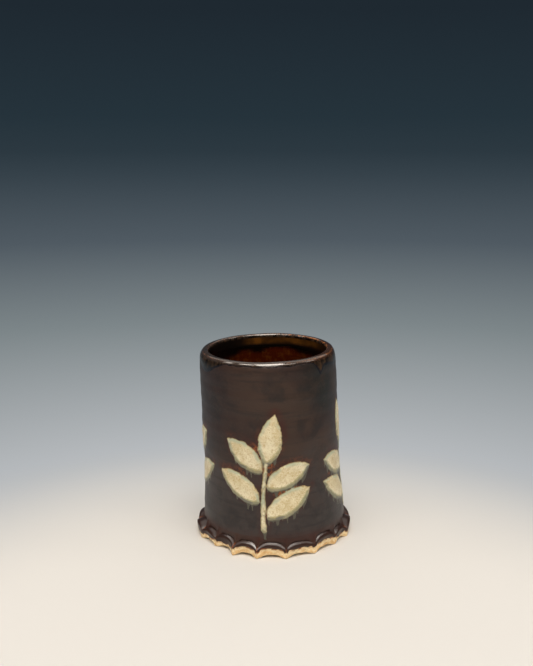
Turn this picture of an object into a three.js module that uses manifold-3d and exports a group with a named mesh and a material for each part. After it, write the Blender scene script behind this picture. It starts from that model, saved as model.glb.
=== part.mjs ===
// A slab-built ceramic tumbler: a clay wall, set a little off centre and leaning, stands on a base slab
// with a scalloped edge. Glaze lines the inside, covers the lip and coats the wall, and sprigs of leaves
// are brushed over the coat in a pale glaze. Millimetres, +Z up, front at -Y, origin under the base.

import * as THREE from 'three';
import { mergeVertices } from 'three/addons/utils/BufferGeometryUtils.js';
import Module from 'manifold-3d';

// Base slab, which stands out past the wall
const slabThickness = 6;
const flangeWidth = 4.8;
const scallopCount = 17;
const scoopDepth = 4.1;
const scoopRise = 3;
const scallopTipWidth = 1.2;
const firstTipAngle = THREE.MathUtils.degToRad(9.9);

// Clay wall, without its glaze: the waist, and how far the other places stand out from it or in
const rimHeight = 110.3;
const waistRadius = 39.1;
const waistHeight = 46;
const skirtSpread = 2.5;
const skirtRise = 5;
const flareInset = 1;
const bellySwell = 0.3;
const bellyHeight = 66;
const lipTaper = 0.4;
const lipDrop = 6;
const lipRounding = 2.2;
const lipInnerRounding = 1.2;
const wallThickness = 4.9;
const cornerRadius = 6;

// How the wall stands on the slab: its offset towards +X, its lean towards -X and the tilt of its rim
const wallOffset = 0.9;
const wallLean = THREE.MathUtils.degToRad(2.43);
const rimTilt = THREE.MathUtils.degToRad(1.2);

// Glaze coats
const glazeThickness = 0.4;
const rimBandInside = 8;

// Clearance between pieces that the firing bonds together
const bondGap = 0.05;

// Leaf sprigs, measured along the wall and upwards
const sprigCount = 4;
const sprigClearance = 4;
const firstSprigAngle = THREE.MathUtils.degToRad(-6);
const stemFoot = 16;
const stemLength = 38;
const stemWidth = 3;
const stemBow = 2.5;
const leavesOnStem = 4;
const lowestLeaf = 7;
const highestLeaf = 4.5;
const leafShortening = 1.5;
const leafSwell = 0.85;
const leafSpread = THREE.MathUtils.degToRad(58);
const leafDroop = 3;
const leafClearance = 1.8;
const tipLeafLength = 28;
const strokeThickness = 0.5;
const strokeEndWidth = 0.8;
const strokeGap = 0.2;
const leafGap = 0.8;

// Facets
const turnSteps = 51;
const scoopSteps = 24;
const curveSteps = 2;
const leafColumns = 4;
const leafRows = 6;
const stemColumns = 2;

const seatHeight = slabThickness;
const rimRise = rimHeight - seatHeight;
const innerRadius = waistRadius - wallThickness;
const skirtRadius = waistRadius + skirtSpread;
const skirtHeight = seatHeight + skirtRise;
const bellyRadius = waistRadius + bellySwell;
const lipRadius = waistRadius - lipTaper;
const footRadius = skirtRadius + flangeWidth;
const scoopHeight = slabThickness + scoopRise;

// The longest leaves reach out as far as the neighbouring sprig leaves room for, and every second leaf stands
// on the same side of the stem, so that the room between those gives the width of a leaf.
const sprigPitch = 2 * Math.PI * waistRadius / sprigCount;
const leafReach = (sprigPitch - sprigClearance - stemBow - stemWidth) / 2 - leafGap;
const leafLength = leafReach / Math.sin(leafSpread);
const leafSpacing = (stemLength - lowestLeaf - highestLeaf) / (leavesOnStem - 1);
const leafWidth = 2 * leafSpacing * Math.sin(leafSpread) - leafClearance;

const wasm = await Module();
wasm.setup();

// Finishes

function finish(color, roughness) {
  return new THREE.MeshStandardMaterial({ color, roughness, metalness: 0 });
}

const bareClay = () => finish(0xd6ad78, 0.9);
const darkGlaze = () => finish(0x3b332d, 0.42);
const amberGlaze = () => finish(0x4b3320, 0.18);
const linerGlaze = () => finish(0x2a1409, 0.12);
const creamGlaze = () => finish(0xcdbf9a, 0.5);

// Shared shaping

// Turns a point given by its angle from the front, towards +X, into a place round the upright axis.
function around(radius, angle, height) {
  return new THREE.Vector3(radius * Math.sin(angle), -radius * Math.cos(angle), height);
}

// Leans a point of the upright wall: the lean and the rim's tilt both start from nothing at the slab.
function leaned(point) {
  const rise = point.z - seatHeight;
  const x = point.x + wallOffset - Math.tan(wallLean) * rise;
  const z = point.z + Math.tan(rimTilt) * point.x * rise / rimRise;
  return new THREE.Vector3(x, point.y, z);
}

function movePoints(geometry, move) {
  const position = geometry.getAttribute('position');
  const point = new THREE.Vector3();
  for (let i = 0; i < position.count; i++) {
    point.fromBufferAttribute(position, i);
    const moved = move(point);
    position.setXYZ(i, moved.x, moved.y, moved.z);
  }
  return geometry;
}

// A leaning ring or cup: the profile runs up the outside, and closes on itself unless it ends on the axis.
function turned(profile) {
  const onAxis = profile[0].x === 0;
  const points = onAxis ? profile : [...profile, profile[0]];
  const geometry = new THREE.LatheGeometry(points, turnSteps);
  geometry.rotateX(Math.PI / 2);
  return movePoints(geometry, leaned);
}

function toSolid(geometry) {
  const bare = geometry.clone();
  bare.deleteAttribute('normal');
  bare.deleteAttribute('uv');
  const merged = mergeVertices(bare);
  const vertProperties = Float32Array.from(merged.getAttribute('position').array);
  const triVerts = Uint32Array.from(merged.getIndex().array);
  return new wasm.Manifold(new wasm.Mesh({ numProp: 3, vertProperties, triVerts }));
}

function toGeometry(solid) {
  const mesh = solid.getMesh();
  const geometry = new THREE.BufferGeometry();
  geometry.setAttribute('position', new THREE.BufferAttribute(mesh.vertProperties, 3));
  geometry.setIndex(new THREE.BufferAttribute(mesh.triVerts, 1));
  return geometry;
}

// Skin of the clay, from the foot of the wall up the outside, over the lip and down to the floor's middle

function outsidePoints() {
  const path = new THREE.Path();
  path.moveTo(footRadius - flareInset, seatHeight);
  path.quadraticCurveTo(skirtRadius, (seatHeight + skirtHeight) / 2, skirtRadius, skirtHeight);
  path.splineThru([
    new THREE.Vector2(waistRadius, waistHeight),
    new THREE.Vector2(bellyRadius, bellyHeight),
    new THREE.Vector2(lipRadius, rimHeight - lipDrop),
  ]);
  return path.getPoints(curveSteps);
}

function lipPoints() {
  const path = new THREE.Path();
  const crest = lipRadius - lipRounding;
  const innerCrest = innerRadius + lipInnerRounding;
  path.moveTo(lipRadius, rimHeight - lipDrop);
  path.absellipse(crest, rimHeight - lipDrop, lipRounding, lipDrop, 0, Math.PI / 2, false, 0);
  path.lineTo(innerCrest, rimHeight);
  path.absarc(innerCrest, rimHeight - lipInnerRounding, lipInnerRounding, Math.PI / 2, Math.PI, false);
  path.lineTo(innerRadius, rimHeight - rimBandInside);
  return path.getPoints(curveSteps);
}

function cornerPoints() {
  const path = new THREE.Path();
  const centre = innerRadius - cornerRadius;
  path.absarc(centre, seatHeight + cornerRadius, cornerRadius, 0, -Math.PI / 2, true);
  return path.getPoints(curveSteps);
}

// Moves each point of a skin out by a thickness, squarely to the skin.
function grown(points, thickness) {
  const side = (from, to) => new THREE.Vector2(to.y - from.y, from.x - to.x).normalize();
  return points.map((point, i) => {
    const before = side(points[Math.max(i - 1, 0)], points[Math.max(i, 1)]);
    const after = side(points[Math.min(i, points.length - 2)], points[Math.min(i + 1, points.length - 1)]);
    const mitre = before.clone().add(after).normalize();
    return point.clone().addScaledVector(mitre, thickness / mitre.dot(after));
  });
}

// Curves that follow each other share an end point, which a profile holds once.
function withoutRepeats(points) {
  return points.filter((point, i) => i === 0 || point.distanceTo(points[i - 1]) > Number.EPSILON * rimHeight);
}

const outside = withoutRepeats(outsidePoints());
const lip = withoutRepeats(lipPoints());
const corner = withoutRepeats(cornerPoints());
const floorMiddle = new THREE.Vector2(0, seatHeight);
const skin = [...outside, ...lip.slice(1), ...corner, floorMiddle];
const coatUnder = grown(skin, bondGap);
const coat = grown(skin, bondGap + glazeThickness);
const lipStart = outside.length - 1;
const lipEnd = lipStart + lip.length - 1;
const innerFoot = new THREE.Vector2(innerRadius, seatHeight);

// A glaze coat lies on one stretch of the skin.
function coatOver(first, last) {
  const under = coatUnder.slice(first, last + 1).reverse();
  const over = coat.slice(first, last + 1);
  return turned([...under, ...over]);
}

// Radius of the coated wall at a height, along the straight facets of its coat
function coatedRadius(height) {
  const next = coat.findIndex((point) => point.y > height);
  const low = coat[next - 1];
  const high = coat[next];
  return THREE.MathUtils.mapLinear(height, low.y, high.y, low.x, high.x);
}

// Scallops: round scoops, side by side, that leave a narrow tip between each two

const scallopStep = 2 * Math.PI / scallopCount;
const scoopHalfAngle = scallopStep / 2 - scallopTipWidth / 2 / footRadius;
const scoopHalfChord = footRadius * Math.sin(scoopHalfAngle);
const scoopSagitta = footRadius * Math.cos(scoopHalfAngle) - (footRadius - scoopDepth);
const scoopRadius = (scoopHalfChord ** 2 + scoopSagitta ** 2) / (2 * scoopSagitta);
const scoopDistance = footRadius - scoopDepth + scoopRadius;
const scoopAngles = Array.from({ length: scallopCount }, (_, i) => firstTipAngle + scallopStep * (i + 0.5));

function baseSlab() {
  const outline = new THREE.Shape();
  const halfSweep = Math.asin(scoopHalfChord / scoopRadius);
  for (const angle of scoopAngles) {
    const centre = around(scoopDistance, angle, 0);
    const inward = angle + Math.PI / 2;
    outline.absarc(centre.x, centre.y, scoopRadius, inward + halfSweep, inward - halfSweep, true);
  }
  outline.closePath();
  return new THREE.ExtrudeGeometry(outline, {
    depth: slabThickness,
    bevelEnabled: false,
    curveSegments: curveSteps * 2,
  });
}

// Takes the scoops out of what stands on the slab.
function scooped(geometry) {
  const start = slabThickness / 2;
  let solid = toSolid(geometry);
  for (const angle of scoopAngles) {
    const scoop = new THREE.CylinderGeometry(scoopRadius, scoopRadius, scoopHeight - start, scoopSteps);
    scoop.rotateX(Math.PI / 2);
    const place = around(scoopDistance, angle, (scoopHeight + start) / 2);
    scoop.translate(place.x, place.y, place.z);
    solid = solid.subtract(toSolid(scoop));
  }
  return toGeometry(solid);
}

function clayWall() {
  return scooped(turned([...outside, ...lip.slice(1), corner[0], innerFoot]));
}

function cornerCoil() {
  const againstWall = (point) => new THREE.Vector2(point.x - bondGap, point.y);
  return turned([againstWall(corner[0]), ...corner.slice(1), againstWall(innerFoot)]);
}

// Leaf sprigs: brushed strokes, each a thin pad along a centre line on the wall

function stroke(sprigAngle, line, width, columns) {
  const pad = new THREE.BoxGeometry(2, 1, 1, columns, leafRows, 1);
  return movePoints(pad, (point) => {
    const along = point.y + 0.5;
    const lift = point.z + 0.5;
    const centre = line.getPoint(along);
    const tangent = line.getTangent(along);
    const across = point.x * width(along) / 2;
    const sideways = centre.x + tangent.y * across;
    const height = centre.y - tangent.x * across;
    const radius = coatedRadius(height) + strokeGap + lift * strokeThickness;
    return leaned(around(radius, sprigAngle + sideways / waistRadius, height));
  });
}

// A leaf swells from its stalk, is widest a little before its middle and runs out to a point.
function leafOutline(along) {
  return strokeEndWidth + (leafWidth - strokeEndWidth) * Math.sin(Math.PI * along ** leafSwell);
}

function stemLine(hand) {
  const foot = new THREE.Vector2(-hand * stemBow / 2, stemFoot);
  const top = new THREE.Vector2(hand * stemBow / 2, stemFoot + stemLength);
  const bend = new THREE.Vector2(-hand * stemBow, stemFoot + stemLength / 2);
  return new THREE.QuadraticBezierCurve(foot, bend, top);
}

function leafLine(stalk, spread, length) {
  const end = new THREE.Vector2(Math.sin(spread), Math.cos(spread)).multiplyScalar(length).add(stalk);
  const bend = stalk.clone().add(end).multiplyScalar(0.5);
  bend.y += leafDroop * Math.abs(Math.sin(spread));
  return new THREE.QuadraticBezierCurve(stalk, bend, end);
}

function sprig(index) {
  const name = `sprig_${index + 1}`;
  const angle = firstSprigAngle + index * 2 * Math.PI / sprigCount;
  const hand = index % 2 ? -1 : 1;
  const stem = stemLine(hand);
  const pieces = new THREE.Group();
  pieces.add(piece(`${name}_stem`, stroke(angle, stem, () => stemWidth, stemColumns), creamGlaze()));
  for (let i = 0; i < leavesOnStem; i++) {
    const side = i % 2 ? -hand : hand;
    const along = (lowestLeaf + i * leafSpacing) / stemLength;
    const tangent = stem.getTangent(along);
    const offset = side * (stemWidth / 2 + leafGap);
    const stalk = new THREE.Vector2(tangent.y, -tangent.x).multiplyScalar(offset).add(stem.getPoint(along));
    const spread = Math.atan2(tangent.x, tangent.y) + side * leafSpread;
    const line = leafLine(stalk, spread, leafLength - i * leafShortening);
    pieces.add(piece(`${name}_leaf_${i + 1}`, stroke(angle, line, leafOutline, leafColumns), creamGlaze()));
  }
  const end = stem.getTangent(1);
  const tipStalk = end.clone().multiplyScalar(leafGap).add(stem.getPoint(1));
  const tipLine = leafLine(tipStalk, Math.atan2(end.x, end.y), tipLeafLength);
  pieces.add(piece(`${name}_leaf_tip`, stroke(angle, tipLine, leafOutline, leafColumns), creamGlaze()));
  return pieces;
}

// The tumbler, put together

function piece(name, geometry, material) {
  const mesh = new THREE.Mesh(geometry, material);
  mesh.name = name;
  return mesh;
}

const tumbler = new THREE.Group();
tumbler.name = 'ceramic_tumbler';
tumbler.add(
  piece('base_slab', baseSlab(), bareClay()),
  piece('clay_wall', clayWall(), bareClay()),
  piece('corner_coil', cornerCoil(), bareClay()),
  piece('liner_glaze', coatOver(lipEnd, skin.length - 1), linerGlaze()),
  piece('rim_glaze', coatOver(lipStart, lipEnd), amberGlaze()),
  piece('wall_glaze', scooped(coatOver(0, lipStart)), darkGlaze()),
);
for (let i = 0; i < sprigCount; i++) {
  tumbler.add(sprig(i));
}

export default tumbler;
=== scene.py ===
import math

import bmesh
import bpy
import numpy as np
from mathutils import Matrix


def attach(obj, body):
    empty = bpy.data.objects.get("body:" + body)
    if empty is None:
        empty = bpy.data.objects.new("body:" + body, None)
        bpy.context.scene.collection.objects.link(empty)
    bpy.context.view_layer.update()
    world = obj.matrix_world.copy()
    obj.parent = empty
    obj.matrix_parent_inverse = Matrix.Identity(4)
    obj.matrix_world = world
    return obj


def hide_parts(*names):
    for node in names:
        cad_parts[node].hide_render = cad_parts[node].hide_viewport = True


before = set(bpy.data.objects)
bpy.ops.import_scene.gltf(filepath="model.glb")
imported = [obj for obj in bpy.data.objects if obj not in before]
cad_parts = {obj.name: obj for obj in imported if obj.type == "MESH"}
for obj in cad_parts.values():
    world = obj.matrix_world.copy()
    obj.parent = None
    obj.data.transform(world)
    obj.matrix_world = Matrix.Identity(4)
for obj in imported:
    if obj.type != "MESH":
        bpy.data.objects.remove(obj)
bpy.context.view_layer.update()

# Base slab
# A disc of buff stoneware that the wall stands on. Scoops are cut out of its edge by hand, side by side, and
# leave a pointed tip between each two. It is fired bare, and shows below the glaze all round the foot.

MM = 0.001
SLAB_THICKNESS = 6.0
SCALLOPS = 17
FIRST_TIP = math.radians(9.9)
TIP_DRIFT = [-0.8, 1.4, 2.4, -2.9, -2.3, 0.3, 2.2, 1.5, 5.0, 6.5, 8.5, 10.0, 9.5, 7.3, 3.9, 2.0, -1.0]
TIP_RADII = [
    44.5, 43.9, 43.9, 46.2, 46.3, 45.6, 45.5, 44.1, 45.2, 44.6, 45.8, 44.3, 44.6, 45.4, 43.6, 46.0, 44.8,
]
TIP_WEAR = 0.12
SCOOP_RADII = [
    42.5, 42.4, 43.6, 46.0, 45.8, 43.8, 42.3, 42.7, 42.1, 41.9, 42.6, 44.2, 45.4, 43.4, 41.7, 42.4, 42.1,
]
SCOOP_CURVE = 2.1
ARCH_CURVE = 2.8
GLAZE_AT_SCOOP = [4.7, 5.0, 3.0, 2.7, 3.2, 4.6, 5.0, 4.2, 5.2, 4.6, 5.0, 3.8, 2.6, 3.2, 2.9, 5.2, 5.4]
GLAZE_AT_TIP = [4.2, 5.0, 5.4, 4.0, 2.2, 3.4, 4.4, 4.0, 4.6, 3.6, 4.4, 3.4, 2.4, 3.4, 4.8, 5.0, 4.2]
GLAZE_STEP = 0.3
COLUMNS_PER_SCOOP = 24
COLUMNS = SCALLOPS * COLUMNS_PER_SCOOP
TIP_GATHER = 0.2
UNDERSIDE_RINGS = (0.0, 14.0, 28.0, 36.0)
EDGE_TOP = 1.05
EDGE_ROUND = ((1.0, 0.0), (0.6, 0.35), (0.25, 0.68), (0.08, 0.86), (0.0, EDGE_TOP))
FACE_RINGS = 13
FACE_DIP = 1.9
TEAR_DEPTH = 0.16
SEAT_RINGS = (36.0, 18.0, 0.0)
GRAIN_ROWS = 64
SHARP_CORNER = math.radians(60)


def eased(value, low, high):
    """Rises softly from 0 at low to 1 at high, or falls where high is the lower."""
    share = np.clip((value - low) / (high - low), 0.0, 1.0)
    return share * share * (3.0 - 2.0 * share)


def grain(across, along, cells, seed):
    """Soft random field from 0 to 1 with one cell to a unit, which repeats after that many cells across."""
    table = np.random.default_rng(seed).random((cells, GRAIN_ROWS))
    column = np.floor(across).astype(int)
    row = np.floor(along).astype(int)
    right = eased(across - column, 0.0, 1.0)
    up = eased(along - row, 0.0, 1.0)
    here, beside = column % cells, (column + 1) % cells
    below, above = row % GRAIN_ROWS, (row + 1) % GRAIN_ROWS
    low = table[here, below] * (1 - right) + table[beside, below] * right
    high = table[here, above] * (1 - right) + table[beside, above] * right
    return low * (1 - up) + high * up


def turn_grain(cells, seed, along=0.0):
    """Soft random values round the cup, with this many cells to a turn."""
    return grain(even_turn / math.tau * cells, along + 0 * even_turn, cells, seed)


def around(radius, angle, height):
    """Points round the upright axis, with the angle counted from the front towards +X."""
    return np.stack(np.broadcast_arrays(radius * np.sin(angle), -radius * np.cos(angle), height), axis=-1)


def spun(name, rows, marks):
    """Spins one section round the axis, then sets every point of each turn to its hand-made place.

    rows holds the points by ring and column, and marks holds values of the same shape for the material. A
    ring whose points all coincide is a pole: it stays one point, and a section that starts there is open.
    """
    columns = rows.shape[1]
    section = rows[:, COLUMNS_PER_SCOOP // 2]
    is_pole = np.ptp(rows, axis=1).max(axis=-1) < MM
    radii = np.where(is_pole, 0.0, np.hypot(section[:, 0], section[:, 1]))
    bm = bmesh.new()
    ring = bm.verts.layers.int.new("ring")
    layers = {mark: bm.verts.layers.float.new(mark) for mark in marks}
    loop = [bm.verts.new((0.0, -radius, height)) for radius, height in zip(radii, section[:, 2])]
    for index, vert in enumerate(loop):
        vert[ring] = index
    following = loop[1:] if is_pole[0] else loop[1:] + loop[:1]
    edges = [bm.edges.new(pair) for pair in zip(loop, following)]
    bmesh.ops.spin(bm, geom=loop + edges, axis=(0, 0, 1), cent=(0, 0, 0), angle=math.tau, steps=columns,
                   use_merge=True)
    bmesh.ops.remove_doubles(bm, verts=bm.verts, dist=MM)
    bmesh.ops.recalc_face_normals(bm, faces=bm.faces)
    for vert in bm.verts:
        column = round(math.atan2(vert.co.x, -vert.co.y) / math.tau * columns) % columns
        for mark, values in marks.items():
            vert[layers[mark]] = values[vert[ring], column]
        vert.co = rows[vert[ring], column] * MM
    return shown(name, bm)


def shown(name, bm):
    """Puts a finished mesh into the scene, smooth but for its sharp corners."""
    mesh = bpy.data.meshes.new(name)
    bm.to_mesh(mesh)
    bm.free()
    mesh.shade_smooth()
    mesh.set_sharp_from_angle(angle=SHARP_CORNER)
    piece = bpy.data.objects.new(name, mesh)
    bpy.context.scene.collection.objects.link(piece)
    return piece


# The columns of every ring stand at even angles or, round the foot, closer together towards the tips.
even_turn = math.tau * np.arange(COLUMNS) / COLUMNS
even_angle = FIRST_TIP + even_turn
scoop_of = np.arange(COLUMNS) // COLUMNS_PER_SCOOP
across_scoop = 2.0 * (np.arange(COLUMNS) % COLUMNS_PER_SCOOP) / COLUMNS_PER_SCOOP - 1.0
across_scoop = across_scoop + TIP_GATHER * np.sin(math.pi * across_scoop)
even_tips = FIRST_TIP + math.tau * np.arange(SCALLOPS + 1) / SCALLOPS
tip_angles = even_tips + np.radians(TIP_DRIFT + TIP_DRIFT[:1])
scoop_half = (tip_angles[scoop_of + 1] - tip_angles[scoop_of]) / 2
cut_angle = tip_angles[scoop_of] + scoop_half * (1.0 + across_scoop)
near_tip = np.abs(across_scoop)

scoop_middle = np.array(SCOOP_RADII)[scoop_of]
tip_beside = scoop_of + (across_scoop > 0)
tip_radius = np.array(TIP_RADII + TIP_RADII[:1])[tip_beside]
scoop_radius = scoop_middle + (tip_radius - TIP_WEAR - scoop_middle) * near_tip ** SCOOP_CURVE

# The glaze ends on each scoop's face in a ragged arch, which hangs lower beside each tip than on it.
arch = near_tip ** ARCH_CURVE
tip_glaze = np.array(GLAZE_AT_TIP + GLAZE_AT_TIP[:1])[tip_beside]
glaze_line = np.array(GLAZE_AT_SCOOP)[scoop_of] * (1 - arch) + tip_glaze * arch
glaze_line = glaze_line + 0.8 * (turn_grain(90, 3) - 0.5)
glaze_line = glaze_line + 0.9 * (turn_grain(204, 4) - 0.5)
glaze_line = glaze_line - 1.0 * eased(near_tip, 0.76, 0.92) + 1.2 * eased(near_tip, 0.95, 1.0)

# The cutter leans in under each scoop and tears the clay in a line above the edge.
clay_face = scoop_radius - GLAZE_STEP
undercut = 0.3 + 0.7 * eased(tip_radius, 45.0, 46.0) + 2.7 * eased(near_tip, 1.0, 0.45)
edge_lift = 0.15 + 1.75 * eased(near_tip, 0.97, 0.35)
face_top = SLAB_THICKNESS - FACE_DIP * arch
slab_rows = [around(radius, cut_angle, 0.0) for radius in UNDERSIDE_RINGS]
slab_rows.append(around(clay_face - undercut - 0.9, cut_angle, 0.0))
for inset, climb in EDGE_ROUND:
    slab_rows.append(around(clay_face - inset * undercut, cut_angle, climb * edge_lift))
for share in np.linspace(0.0, 1.0, FACE_RINGS)[1:]:
    height = EDGE_TOP * edge_lift * (1 - share) + face_top * share
    tear_line = TEAR_DEPTH * eased(height + 0.9 * (turn_grain(51, 5) - 0.5), 2.5, 2.1)
    tearing = TEAR_DEPTH * (turn_grain(306, 6, height * 1.4) - 0.5)
    slab_rows.append(around(clay_face + tear_line + tearing, cut_angle, height))
slab_rows.append(around(clay_face - 0.5, cut_angle, face_top + 0.2))
slab_rows += [around(radius, cut_angle, SLAB_THICKNESS) for radius in SEAT_RINGS]
slab_rows = np.array(slab_rows)

slab_height = slab_rows[:, :, 2]
below_glaze = glaze_line - slab_height
flashing = eased(below_glaze, 1.1, 0.0) * eased(slab_height, 0.2, 0.8)
# Painted highlight: the clay is painted paler in a band just below the glaze and in a thin line along its
# lower edge.
painted_clay_highlight = eased(below_glaze + 1.6 * (turn_grain(153, 7) - 0.5), 2.7, 1.9)
painted_clay_highlight = np.maximum(painted_clay_highlight, 0.8 * eased(slab_height - edge_lift, 0.5, 0.2))
base_slab = spun("base_slab_clay", slab_rows, {"flashing": flashing, "painted_highlight": painted_clay_highlight})


class Wash:
    """A number or a colour that varies over a surface, held as the output of a node in its material."""

    def __init__(self, socket):
        self.socket = socket

    def node(self, kind, settings, sockets, output=0):
        """Adds a node to the same material: first its settings, then the values or links of its sockets."""
        tree = self.socket.id_data
        made = tree.nodes.new(kind)
        for name, value in settings.items():
            setattr(made, name, value)
        for key, value in sockets.items():
            if isinstance(value, Wash):
                tree.links.new(value.socket, made.inputs[key])
            else:
                made.inputs[key].default_value = value
        return Wash(made.outputs[output])

    def computed(self, operation, first, second):
        """Works out one number from two."""
        return self.node("ShaderNodeMath", {"operation": operation}, {0: first, 1: second})

    def __add__(self, other):
        return self.computed("ADD", self, other)

    def __sub__(self, other):
        return self.computed("SUBTRACT", self, other)

    def __rsub__(self, other):
        return self.computed("SUBTRACT", other, self)

    def __mul__(self, other):
        return self.computed("MULTIPLY", self, other)

    __radd__ = __add__
    __rmul__ = __mul__

    def eased(self, low, high):
        """Rises softly from 0 at low to 1 at high, or falls where high is the lower."""
        return self.node("ShaderNodeMapRange", {"interpolation_type": "SMOOTHSTEP"},
                         {"Value": self, "From Min": low, "From Max": high})

    def tint(self, under, over):
        """Lays one colour over another as far as this mask says."""
        return self.node("ShaderNodeMix", {"data_type": "RGBA"}, {0: self, 6: under, 7: over}, output=2)

    def through(self, stops):
        """The colour that runs through (value, colour) stops."""
        colour = stops[0][1]
        for (low, _), (high, over) in zip(stops, stops[1:]):
            share = self.node("ShaderNodeMapRange", {}, {"Value": self, "From Min": low, "From Max": high})
            colour = share.tint(colour, over)
        return colour

    def stretched(self, factors):
        """A place whose patterns come out longer along an axis the smaller its factor is."""
        return self.node("ShaderNodeVectorMath", {"operation": "MULTIPLY"}, {0: self, 1: factors})

    def height(self):
        """How high a place lies."""
        return self.node("ShaderNodeSeparateXYZ", {}, {0: self}, output=2)

    def cloud(self, scale, detail=3.0, roughness=0.5):
        """Cloudy pattern from about 0.2 to 0.8, with this many clouds to a metre."""
        return self.node("ShaderNodeTexNoise", {},
                         {"Vector": self, "Scale": scale, "Detail": detail, "Roughness": roughness})

    def mark(self, name):
        """A value that the mesh carries under this name."""
        return self.node("ShaderNodeAttribute", {"attribute_name": name}, {}, output=2)

    def relief(self, depth):
        """Fine relief of this depth in metres, for a shader's Normal."""
        return self.node("ShaderNodeBump", {}, {"Strength": 1.0, "Distance": depth, "Height": self})

    def feeds(self, shader, name):
        """Drives one socket of a shader."""
        self.socket.id_data.links.new(self.socket, shader.inputs[name])


def new_finish(name):
    """A new material, its shader and the place on the piece that its patterns start from."""
    material = bpy.data.materials.new(name)
    material.use_nodes = True
    coordinates = material.node_tree.nodes.new("ShaderNodeTexCoord")
    return material, material.node_tree.nodes["Principled BSDF"], Wash(coordinates.outputs["Object"])


def layered(colour, layers):
    """Lays colours over a first one in turn, each as far as its mask says."""
    for mask, over in layers:
        colour = mask.tint(colour, over)
    return colour


CLAY_BUFF = (0.870, 0.560, 0.250, 1.0)
CLAY_WARM = (0.660, 0.380, 0.143, 1.0)
CLAY_PALE = (0.950, 0.753, 0.446, 1.0)
CLAY_SPECK = (0.20, 0.09, 0.035, 1.0)
CLAY_FLASH = (0.34, 0.105, 0.025, 1.0)

bare_clay, clay_shader, place = new_finish("bare_clay")
clay_colour = layered(CLAY_BUFF, [
    (place.cloud(260.0).eased(0.42, 0.70), CLAY_WARM),
    # Painted highlight on the clay, just below the glaze and along its lower edge.
    (place.mark("painted_highlight") * (0.55 + 0.6 * place.cloud(700.0).eased(0.4, 0.62)), CLAY_PALE),
    (0.75 * place.cloud(1000.0).eased(0.52, 0.70), CLAY_PALE),
    (0.7 * place.cloud(1500.0, 1.0).eased(0.70, 0.76), CLAY_SPECK),
    (place.mark("flashing") * (1.4 * place.cloud(330.0).eased(0.43, 0.58)), CLAY_FLASH),
])
clay_colour.feeds(clay_shader, "Base Color")
clay_relief = 0.6 * place.cloud(1800.0) + place.stretched((1.0, 1.0, 3.0)).cloud(500.0)
clay_relief.relief(0.00022).feeds(clay_shader, "Normal")
clay_shader.inputs["Roughness"].default_value = 0.85

base_slab.data.materials.append(bare_clay)
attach(base_slab, "root")
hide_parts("base_slab")

# Clay wall and corner coil
# The wall is a sheet of the same clay rolled into a cylinder, luted to the slab a little off centre and
# leaning. A coil is pressed into the inside corner to seal the joint. Both lie under the glaze.

WALL_OFFSET = 0.9
WALL_LEAN = math.tan(math.radians(2.43))
RIM_TILT = math.tan(math.radians(1.2))
RIM_RISE = 104.3
WALL_LINE = [
    (8.0, 41.85), (12.0, 41.55), (16.0, 41.30), (20.0, 41.10), (24.0, 40.74), (28.0, 40.45), (32.0, 40.11),
    (40.0, 39.75), (48.0, 39.54), (60.0, 39.77), (68.0, 39.83), (76.0, 39.61), (84.0, 39.52), (92.0, 39.53),
    (100.0, 39.32), (104.7, 39.14), (106.7, 38.90), (107.9, 38.61), (108.9, 38.20), (109.6, 37.72),
    (110.3, 37.08),
]
COAT = 0.42
FOOT_TOP = 12.0
ROLL_PROUD = 0.35
ROLL_LEAST = 0.95
CREASE_HEIGHTS = [8.4, 10.1, 8.8, 8.8, 8.5, 9.2, 8.7, 9.4, 8.8, 8.4, 9.0, 8.7, 8.7, 8.2, 8.9, 8.7, 9.0]
CREASE_SETBACK = 0.62
FORK_SHARE = 0.8
FORK_LONGEST = 2.4
UNDER_COAT_HEIGHTS = (108.9, 106.7, 102.0, 96.0, 88.0, 78.0, 68.0, 58.0, 48.0, 38.0, 28.0, 20.0, 14.0)
UNDER_COAT_STATIONS = (0.5, 1.5, 3.0, 4.0, 5.0)
WALL_UNDERSIDE = 4.0
CLAY_INSIDE = 34.2
CLAY_INSIDE_HEIGHTS = (20.0, 50.0, 80.0, 100.0, 108.7)
CLAY_LIP = ((35.0, 110.1), (37.0, 109.9))


def smooth_line(knots, at):
    """Line without corners through (height, radius) knots."""
    heights, radii = np.transpose(knots)
    slopes = np.gradient(radii, heights)
    low = np.clip(np.searchsorted(heights, at) - 1, 0, len(heights) - 2)
    span = heights[low + 1] - heights[low]
    share = (at - heights[low]) / span
    rest = 1 - share
    ends = radii[low] * (1 + 2 * share) * rest ** 2 + radii[low + 1] * (1 + 2 * rest) * share ** 2
    return ends + span * share * rest * (slopes[low] * rest - slopes[low + 1] * share)


def wall_radius(angle, height):
    """Outside of the glazed wall before it leans: slightly out of round, with faint ridges from the hand."""
    height = height + 0 * angle
    oval = 0.15 * np.sin(2 * angle + 0.7) + 0.09 * np.sin(3 * angle - 1.1)
    ridges = 0.05 * np.sin(0.85 * height + 1.4 * np.sin(angle)) + 0.04 * np.sin(0.37 * height - angle)
    line = smooth_line(WALL_LINE, height)
    return line + oval * eased(height, 14.0, 60.0) + ridges * eased(height, 12.0, 20.0)


def leaned(points):
    """Leans and tilts points of the upright wall as it stands on the slab."""
    x, y, z = np.moveaxis(points, -1, 0)
    rise = z - SLAB_THICKNESS
    return np.stack((x + WALL_OFFSET - WALL_LEAN * rise, y, z + RIM_TILT * x * rise / RIM_RISE), axis=-1)


def wall_ring(height, out=0.0):
    """One ring of the wall, whose columns gather at the tips of the foot further down."""
    gather = eased(np.mean(height), 24.0, 12.0)
    angle = even_angle + gather * (cut_angle - even_angle)
    return leaned(around(wall_radius(angle, height) + out, angle, height))


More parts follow.
